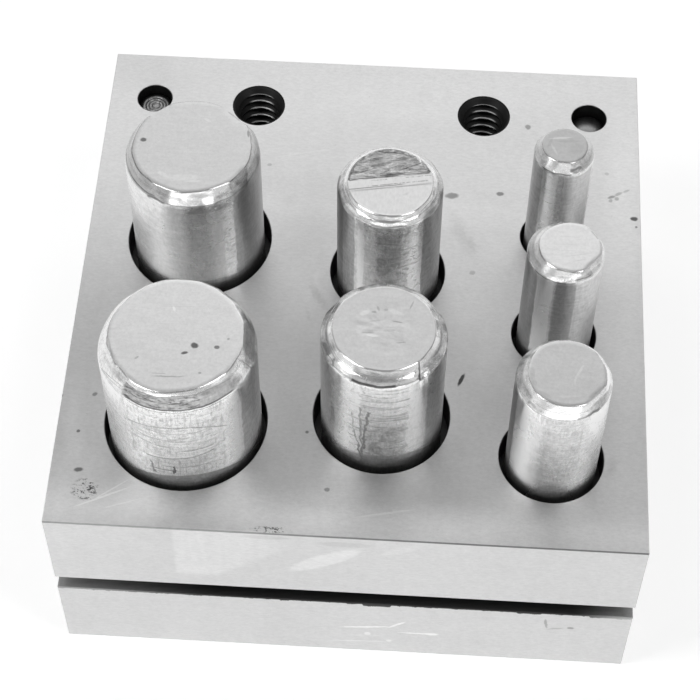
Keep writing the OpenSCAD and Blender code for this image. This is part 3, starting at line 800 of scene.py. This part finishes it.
def shoulder_wear_and_sheen(f, number, bearing, top):
    """How dark, and how bright, each part of the battered shoulder is: wear's flecks, painted reflections
    in its tones and a painted highlight on its rim.
    """
    waver = f.grain(1.6, detail=4, at=(number, 1, 8), rough=0.7)
    turn = bearing + waver * SHOULDER_SHAKE
    # The tones are painted reflections.
    tones = {True: [f.none], False: [f.none]}
    for low, high, soft, strength in SHOULDER_TONES[number]:
        tones[strength > 0].append(turn.between(low, high, soft) * abs(strength))
    fleck = f.grain(0.9, detail=5, at=(number, 4, 4), rough=0.8)
    start = top - SHOULDERS[number][-2][1]
    shoulder = f.z.rise(start - SHOULDER_START, start + SHOULDER_START)
    spots = fleck.rise(*FLECK_STEP) * FLECK_DARKNESS
    rim = (f.z + waver * RIM_SHAKE).rise(*(top - RIM_REACH - below for below in RIM_START))
    # A painted highlight on the rolled rim.
    shine = rim * RIM_SHINES[number]
    dark = any_of([sum_of(tones[True]) * (1 - shine * RIM_CLEARING), spots])
    return shoulder * dark, shoulder * (sum_of(tones[False]) * (waver * SHINE_WAVER + 1) + shine)


# How much stains change the sides' brightness, and the most light that a side gives back.
STAINS = 0.08
SIDE_BRIGHTEST = 0.97
SIDE_ROUGHNESS = 0.26
SIDE_BUMP = 0.12


def punch_side_steel(number):
    """Turned and polished tool steel, its fine marks running round the punch."""
    f = Finish(f"turned_steel_{number}", Anisotropic=0.75, Anisotropic_Rotation=0.25)
    x, y, _, top = span(f"punch_{number}")
    bearing = f.bearing(x, y)
    stain = f.grain(7, detail=4, at=(number, 3, 0), rough=0.6, warp=0.8)
    mesh = (f.grain(0.5, detail=3, stretch=(1, 1, 3), rough=0.7)
            + f.grain(0.5, detail=3, stretch=(5, 5, 1), rough=0.7))
    # Wear with painted reflections and a glint on the side; wear, painted reflections and a painted rim
    # highlight on the shoulder.
    worn_and_shaded, brightened = side_wear_and_reflections(f, number, bearing)
    beaten_and_shaded, shoulder_sheen = shoulder_wear_and_sheen(f, number, bearing, top)
    shade = (1 + stain * STAINS + mesh * SIDE_GRAIN[number] + brightened + shoulder_sheen) * SIDE_TONES[number]
    shade = shade * (1 - worn_and_shaded) * (1 - beaten_and_shaded)
    roughness = SIDE_ROUGHNESS + stain * 0.05 + worn_and_shaded * 0.15
    return f.finish(shade.least(SIDE_BRIGHTEST), roughness, mesh * 0.03, SIDE_BUMP)


# The struck faces: how much clouds, speckles and the grinder's strokes change their brightness, how
# many turned rings there are (radians to a millimetre) and how far the clouds shake them.
CLOUDS, SPECKLES, STROKES = 0.07, 0.17, 0.06
RING_PITCH = 7.5
RING_SHAKE = 2
FACE_ROUGHNESS = 0.42
FACE_BUMP = 0.15


def punch_face_steel(number):
    """A struck end: ground flat and dulled by use."""
    f = Finish(f"struck_steel_{number}")
    x, y, _, top = span(f"punch_{number}")
    cloud = f.grain(3, detail=5, at=(number, 0, 0), rough=0.65)
    speckle = f.grain(0.6, detail=3, rough=0.7)
    strokes = f.grain(0.7, detail=3, stretch=(7, 1, 1), at=(0, number, 0))
    rings = (f.off(x, y) * RING_PITCH + cloud * RING_SHAKE).math("SINE") * RING_TONES[number]
    dark, bright = f.flat_marks(FACE_MARKS[number], top, (x, y), ragged=0.3)
    texture = 1 + cloud * CLOUDS + speckle * SPECKLES + strokes * STROKES + rings
    shade = texture * (1 + bright) * (1 - dark) * FACE_TONES[number]
    roughness = FACE_ROUGHNESS + cloud * 0.06
    return f.finish(shade.least(BRIGHTEST), roughness, cloud * 0.03 + speckle * 0.015, FACE_BUMP)


# Behind the worn band: how dark the seams between layers of scale are, and the scale itself.
SEAM_DARKNESS = 0.46
SCALE_DARKNESS = 0.16
BATTER_ROUGHNESS = 0.40
BATTER_BUMP = 0.25


def battered_face_steel():
    """The fourth punch's end: layered scale and dirt behind a straight worn band."""
    f = Finish("battered_steel")
    x, y, _, top = span("punch_4")
    waver = f.grain(1.2, detail=4, rough=0.7)
    along = (f.x - x) * math.cos(BAND_TURN) + (f.y - y) * math.sin(BAND_TURN)
    across = (f.y - y) * math.cos(BAND_TURN) - (f.x - x) * math.sin(BAND_TURN) + waver * 0.12
    layers = f.grain(1.1, detail=5, stretch=(4.5, 0.7, 1), rough=0.7, warp=1.4)
    behind = across.rise(BAND_BACK - STEP_REACH, BAND_BACK + 2 * STEP_REACH)
    stitches = f.grain(0.5, stretch=(1, 6, 1)).rise(-0.2, 0.1)
    lines = any_of([
        across.near(BAND_BACK, 0.13) * 0.65,
        across.near(BAND_BACK + 0.5, 0.10) * along.rise(-2, 1) * 0.45,
        across.near(BAND_FRONT, 0.12) * along.rise(3.5, 1.5) * 0.60,
        across.near(BAND_FRONT + 0.35, 0.10) * along.between(-4.5, 8.0, 0.5) * stitches * 0.55,
        across.near(0.35, 0.09) * along.rise(-5, -3) * stitches * 0.50,
        across.near(0.75, 0.07) * along.rise(0, 2) * 0.35,
    ])
    dark, bright = f.flat_marks(BATTER_MARKS, top, (x, y), ragged=0.5)
    seams = layers.near(0.12, 0.10).most(layers.near(-0.2, 0.07)) * SEAM_DARKNESS
    darkening = behind * (f.grain(2.4, detail=5, rough=0.7).rise(-0.4, 0.3) * SCALE_DARKNESS)
    front = f.grain(0.7, detail=4, stretch=(1, 2, 1), rough=0.7)
    shade = (1 + front * 0.20 + bright) * BATTER_TONE
    for soil in (behind * seams, darkening, lines, dark):
        shade = shade * (1 - soil)
    roughness = BATTER_ROUGHNESS + darkening * 0.3
    return f.finish(shade.least(BRIGHTEST), roughness, layers * behind * 0.08, BATTER_BUMP)


# ---------------------------------------------------------------- other steels

# How much light the milled bar and the black screws give back, and how rough these steels are.
MILLED_TONE = 0.50
OXIDE_TONE = 0.06
DOWEL_ROUGHNESS = 0.36
MILLED_ROUGHNESS = 0.40
OXIDE_ROUGHNESS = 0.45


def dowel_steel(name, tone, coarseness):
    """Hardened steel, grey from the heat, as the lathe left it."""
    f = Finish(name)
    coarse = f.grain(1.2, detail=4, rough=0.7) * 0.6 * coarseness
    texture = 1 + coarse + f.grain(0.4, detail=3) * 0.5 * coarseness
    return f.finish(texture * tone, DOWEL_ROUGHNESS + f.grain(1.5) * 0.06)


def spacer_steel():
    """Plain steel with the milling cutter's lines along it."""
    f = Finish("milled_steel")
    cuts = f.grain(0.5, detail=2, stretch=(1, 1, 40))
    shade = MILLED_TONE + f.grain(8, detail=3) * 0.06 + cuts * 0.02
    return f.finish(shade, MILLED_ROUGHNESS + f.grain(4) * 0.05, cuts * 0.01)


def screw_steel():
    """Black oxide over steel."""
    f = Finish("blackened_steel")
    shade = OXIDE_TONE + f.grain(1.5, detail=3) * 0.02
    return f.finish(shade, OXIDE_ROUGHNESS + f.grain(1.5) * 0.05)


def paint_node(node, material):
    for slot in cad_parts[node].material_slots:
        slot.material = material


# ---------------------------------------------------------------- punches

# The straight worn band across the fourth punch's face: its turn, its edges from the middle, and how
# softly they step. Behind it the end is broken down this far, in front of it a little.
BAND_TURN = math.radians(10.4)
BAND_FRONT = -1.35
BAND_BACK = 1.37
STEP_REACH = 0.1
BROKEN_DOWN = (0.12, 0.55)
FRONT_DOWN = 0.06
# The fifth punch's end is dished inside this ring (shares of its flat), to this depth under this film.
DISH_RING = (0.85, 0.35)
DISH_DEPTH = 0.09
DISH_FILM = 0.03
# The other ends are only uneven.
UNEVENNESS = 0.02
# Points nearer than this, in millimetres, are taken as one.
SAME_PLACE = 0.001


def step(value, low, high):
    t = min(1.0, max(0.0, (value - low) / (high - low)))
    return t * t * (3 - 2 * t)


def ripple(x, y, z, size, octaves=4):
    """Fractal noise from about -1 to 1 at a place in millimetres."""
    return noise.fractal(Vector((x, y, z)) / size, 1.0, 2.0, octaves)


def outline_of(number, radius, length):
    """The half section from the middle of the face, out over the shoulder and down to the foot."""
    shoulder = [(radius - inwards, length - down) for inwards, down in SHOULDERS[number]]
    for _ in range(CORNER_CUTS):
        cut = [shoulder[0]]
        for (r0, z0), (r1, z1) in zip(shoulder, shoulder[1:]):
            cut += [(r0 * near + r1 * (1 - near), z0 * near + z1 * (1 - near)) for near in (0.75, 0.25)]
        shoulder = cut + [shoulder[-1]]
    rings, (flat, _), (_, side_top) = FACE_RINGS[number], shoulder[0], shoulder[-1]
    face = [(flat * ring / rings, length) for ring in range(rings)]
    side = [(radius, side_top * (1 - ring / SIDE_RINGS)) for ring in range(1, SIDE_RINGS + 1)]
    return face + shoulder + side + [(0.0, 0.0)]


def face_sink(number, x, y, flat):
    """How far use has driven the struck face down at a place, in millimetres."""
    if number == 4:
        along = x * math.cos(BAND_TURN) + y * math.sin(BAND_TURN)
        across = y * math.cos(BAND_TURN) - x * math.sin(BAND_TURN)
        waves = 0.5 + 0.5 * ripple(along / 2.4, across, 3.0, size=1.3, octaves=5)
        behind = step(across, BAND_BACK - 0.1, BAND_BACK + 0.35)
        front = step(-across, -BAND_FRONT - STEP_REACH, -BAND_FRONT + STEP_REACH)
        least, most = BROKEN_DOWN
        return behind * (least + most * max(0.0, waves)) + FRONT_DOWN * front
    if number == 5:
        inner = step(-math.hypot(x, y), *(-flat * share for share in DISH_RING))
        waves = 0.5 + 0.5 * ripple(x / 1.5, y, 1.0, size=1.8)
        return DISH_FILM + inner * DISH_DEPTH * max(0.0, waves)
    return UNEVENNESS + UNEVENNESS * ripple(x, y, number, size=4.0, octaves=2)


def flats_of(number, outline):
    """Each flat spot as the direction that it faces and how far out it lies."""
    for turn, tilt, depth in FLATS[number]:
        turn, tilt = math.radians(turn), math.radians(tilt)
        reach = max(r * math.cos(tilt) + z * math.sin(tilt) for r, z in outline)
        level = math.cos(tilt)
        yield Vector((math.sin(turn) * level, -math.cos(turn) * level, math.sin(tilt))), reach - depth


# Wear, in millimetres: how far below the shoulder it ends, how wide the face's edge is, over what
# height the beating sets in, and from and to where below the face the rim's does.
WORN_BELOW = 6
FACE_EDGE = 0.5
BEAT_REACH = 1.5
RIM_DEPTH = (1.6, 0.2)
# The middle of the end, up to this share of its flat, keeps its round shape.
RIM_SHARE = 0.6
# The size of the shoulder's waves and of the rim's longer ones, and how far these swing.
BEAT_SIZE = 3.2
BEND_SIZE = 7.0
BEND_SWING = 0.9
# A nick is struck this far inside the side, and cuts down as it cuts in.
NICK_INSET = 0.5
NICK_FALL = Vector((0, 0, 0.7))


def beat_in(point, number, low, length, flat):
    """Draws a shoulder and its rim in from a true circle."""
    r = math.hypot(point.x, point.y)
    if r <= flat * RIM_SHARE:
        return
    near = step(point.z, low, low + BEAT_REACH) * step(r, flat - FACE_EDGE, flat)
    beat = 0.5 + 0.5 * ripple(point.x, point.y, point.z * 1.5 + 20 * number, BEAT_SIZE, 3)
    bend = 0.5 + BEND_SWING * ripple(point.x, point.y, 30 * number, BEND_SIZE, 2)
    close = step(point.z, *(length - depth for depth in RIM_DEPTH)) * step(r, flat * RIM_SHARE, flat)
    shrink = SHOULDER_WAVER[number] * near * max(0.0, beat) + RIM_WAVER[number] * close * max(0.0, bend)
    point.x, point.y = point.x * (1 - shrink / r), point.y * (1 - shrink / r)


def lean_over(point, number, low, length, radius):
    """Pushes the struck end sideways, but never out of the punch's own cylinder."""
    across, along = FACE_SHIFTS.get(number, (0.0, 0.0))
    lean = step(point.z, low, length)
    point.x, point.y = point.x + across * lean, point.y + along * lean
    held = min(1.0, radius / max(math.hypot(point.x, point.y), radius))
    point.x, point.y = point.x * held, point.y * held


def nick(point, number, radius, length):
    """Dents a shoulder where something has struck it."""
    for turn, down, size, depth in NICKS[number]:
        angle = math.radians(turn)
        outward = Vector((math.sin(angle), -math.cos(angle), 0))
        hit = outward * (radius - NICK_INSET) + Vector((0, 0, length - down))
        if (point - hit).length < size * 2:
            far = (point - hit).length / size * (1 + 0.5 * ripple(*point, size=0.8, octaves=3))
            point -= (outward + NICK_FALL) * depth * max(0.0, 1 - far * far)


def wear(bm, number, radius, length, outline):
    """Beats the face, waves the shoulder and cuts its flats and nicks, always inwards."""
    flat = radius - SHOULDERS[number][0][0]
    low = length - SHOULDERS[number][-1][1]
    flats = list(flats_of(number, outline))
    for vert in bm.verts:
        point = vert.co / MM
        if point.z < low - WORN_BELOW:
            continue
        if point.z > length - SAME_PLACE:
            inside = flat - math.hypot(point.x, point.y)
            point.z -= face_sink(number, point.x, point.y, flat) * step(inside, 0.0, FACE_EDGE)
        beat_in(point, number, low, length, flat)
        lean_over(point, number, low, length, radius)
        for outward, reach in flats:
            excess = outward.dot(point) - reach
            if excess > 0:
                point -= outward * excess * excess / (excess + FLAT_SOFTNESS)
        nick(point, number, radius, length)
        vert.co = point * MM


def turned_piece(name, node, body, outline, segments, place, shape, materials):
    """Spins a half section into a piece that stands in for a node of the CAD model."""
    x, y = place
    bm = bmesh.new()
    chain = [bm.verts.new((r * MM, 0, z * MM)) for r, z in outline]
    edges = [bm.edges.new(pair) for pair in zip(chain, chain[1:])]
    bmesh.ops.spin(bm, geom=chain + edges, cent=(0, 0, 0), axis=(0, 0, 1), angle=2 * math.pi,
                   steps=segments, use_merge=True)
    bmesh.ops.remove_doubles(bm, verts=bm.verts, dist=MM * SAME_PLACE)
    bmesh.ops.recalc_face_normals(bm, faces=bm.faces)
    top = max(z for _, z in outline)
    for polygon in bm.faces:
        polygon.smooth = True
        face = polygon.calc_center_median().z > (top - SAME_PLACE) * MM
        polygon.material_index = int(face and len(materials) > 1)
    shape(bm)
    bmesh.ops.translate(bm, vec=Vector((x, y, 0)) * MM, verts=bm.verts)

    mesh = bpy.data.meshes.new(name)
    bm.to_mesh(mesh)
    bm.free()
    mesh.set_sharp_from_angle(angle=math.radians(SHARP_ANGLE))
    for material in materials:
        mesh.materials.append(material)
    piece = bpy.data.objects.new(name, mesh)
    bpy.context.scene.collection.objects.link(piece)
    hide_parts(node)
    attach(piece, body)


def make_punch(number, face_material):
    node = f"punch_{number}"
    x, y, radius, length = span(node)
    outline = outline_of(number, radius, length)
    turned_piece(f"{node}_worn", node, node, outline, PUNCH_SEGMENTS, (x, y),
                 lambda bm: wear(bm, number, radius, length, outline),
                 (punch_side_steel(number), face_material))


# The depth of the lathe's mark in the middle, a groove's section, the bevel's height as a share of
# its width, and the bevel of the foot.
LATHE_MARK = 0.15
GROOVE_INNER, GROOVE_DEPTH, GROOVE_OUTER = 0.22, 0.12, 0.12
BEVEL_SHARE = 0.8
FOOT_BEVEL = 0.6


def make_dowel(node, bevel, grooves, tone, coarseness):
    """A dowel with a bevelled end, turned grooves in it and the lathe's mark in the middle."""
    x, y, radius, top = span(node)
    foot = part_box(node)[0][2] / MM
    end = [(0.0, top - LATHE_MARK)]
    for groove in grooves:
        end += [(groove - GROOVE_INNER, top), (groove, top - GROOVE_DEPTH), (groove + GROOVE_OUTER, top)]
    outline = end + [(radius - bevel, top), (radius, top - bevel * BEVEL_SHARE),
                     (radius, foot + FOOT_BEVEL), (radius - FOOT_BEVEL, foot), (0.0, foot)]
    turned_piece(f"{node}_turned", node, "block", outline, DOWEL_SEGMENTS, (x, y),
                 lambda bm: None, (dowel_steel(f"{node}_steel", tone, coarseness),))


# ---------------------------------------------------------------- studio

def softbox(name, place, aim, width, height, radiance):
    """An area light of that radiance, looking from place to aim."""
    light = bpy.data.lights.new(name, "AREA")
    light.shape = "RECTANGLE"
    light.size, light.size_y = width, height
    light.energy = radiance * math.pi * width * height
    lamp = bpy.data.objects.new(name, light)
    facing = (Vector(aim) - Vector(place)).to_track_quat("-Z", "Y").to_matrix().to_4x4()
    lamp.matrix_world = Matrix.Translation(place) @ facing
    bpy.context.scene.collection.objects.link(lamp)


# The floor lies just under the feet, reaches this far each way and glows a little.
FLOOR_REACH = 2.0
FLOOR_DROP = 0.00005
PAPER_GREY = 0.9
PAPER_ROUGHNESS = 0.9
PAPER_GLOW = 0.44
# The walls: where they start and end to darken with height, and how bright they are there.
WALL_SHADES = {"From Min": 0.10, "From Max": 0.65, "To Min": 0.72, "To Max": 0.20}
# The panels: place, the point that each looks at, width, height, radiance.
PANELS = {
    "back_panel": ((0.0, 0.56, 0.58), (0, 0, 0.05), 0.76, 0.64, 0.94),
    "left_panel": ((-0.384, -0.171, 0.62), (0, 0, 0.06), 0.20, 0.42, 4.0),
    "right_panel": ((0.36, -0.215, 0.66), (0, 0, 0.06), 0.22, 0.42, 3.0),
    "front_panel": ((0.0, -1.0, 0.16), (0, 0, 0.08), 1.3, 0.42, 1.3),
}


def make_floor():
    bm = bmesh.new()
    bmesh.ops.create_grid(bm, x_segments=1, y_segments=1, size=FLOOR_REACH)
    bmesh.ops.translate(bm, vec=(0, 0, -FLOOR_DROP), verts=bm.verts)
    mesh = bpy.data.meshes.new("studio_floor")
    bm.to_mesh(mesh)
    bm.free()
    paper = bpy.data.materials.new("white_paper")
    paper.use_nodes = True
    shader = paper.node_tree.nodes["Principled BSDF"]
    shader.inputs["Base Color"].default_value = (PAPER_GREY, PAPER_GREY, PAPER_GREY, 1)
    shader.inputs["Roughness"].default_value = PAPER_ROUGHNESS
    shader.inputs["Emission Color"].default_value = (1, 1, 1, 1)
    shader.inputs["Emission Strength"].default_value = PAPER_GLOW
    mesh.materials.append(paper)
    floor = bpy.data.objects.new("studio_floor", mesh)
    bpy.context.scene.collection.objects.link(floor)


def make_world():
    """Pale walls that fade to a darker ceiling."""
    world = bpy.data.worlds.new("studio_walls")
    world.use_nodes = True
    tree = world.node_tree
    place = tree.nodes.new("ShaderNodeTexCoord")
    height = tree.nodes.new("ShaderNodeSeparateXYZ")
    shade = tree.nodes.new("ShaderNodeMapRange")
    shade.interpolation_type = "SMOOTHSTEP"
    for socket, value in WALL_SHADES.items():
        shade.inputs[socket].default_value = value
    tree.links.new(place.outputs["Generated"], height.inputs[0])
    tree.links.new(height.outputs["Z"], shade.inputs["Value"])
    tree.links.new(shade.outputs[0], tree.nodes["Background"].inputs["Strength"])
    tree.nodes["Background"].inputs["Color"].default_value = (1, 1, 1, 1)
    bpy.context.scene.world = world


def make_studio():
    bpy.context.scene.view_settings.view_transform = "Standard"
    make_world()
    for name, panel in PANELS.items():
        softbox(name, *panel)
    make_floor()


def make_camera():
    lens = bpy.data.cameras.new("photo_camera")
    lens.lens, lens.sensor_width = CAMERA_LENS, CAMERA_SENSOR
    lens.clip_start, lens.clip_end = CAMERA_CLIP
    camera = bpy.data.objects.new("photo_camera", lens)
    tilt, turn, roll = (math.radians(a) for a in (CAMERA_TILT, CAMERA_TURN, CAMERA_ROLL))
    camera.matrix_world = (Matrix.Translation(CAMERA_PLACE) @ Matrix.Rotation(turn, 4, "Z")
                           @ Matrix.Rotation(tilt, 4, "X") @ Matrix.Rotation(roll, 4, "Z"))
    bpy.context.scene.collection.objects.link(camera)
    bpy.context.scene.camera = camera


# ---------------------------------------------------------------- the disc cutter

make_camera()
make_studio()

paint_node("guide_plate", guide_plate_steel())
paint_node("die_plate", die_plate_steel())
paint_node("spacer_bar", spacer_steel())
for dowel, end in DOWEL_ENDS.items():
    make_dowel(dowel, *end)
blackened = screw_steel()
for screw in SCREWS:
    paint_node(screw, blackened)

battered = battered_face_steel()
for number in PUNCHES:
    make_punch(number, battered if number == 4 else punch_face_steel(number))
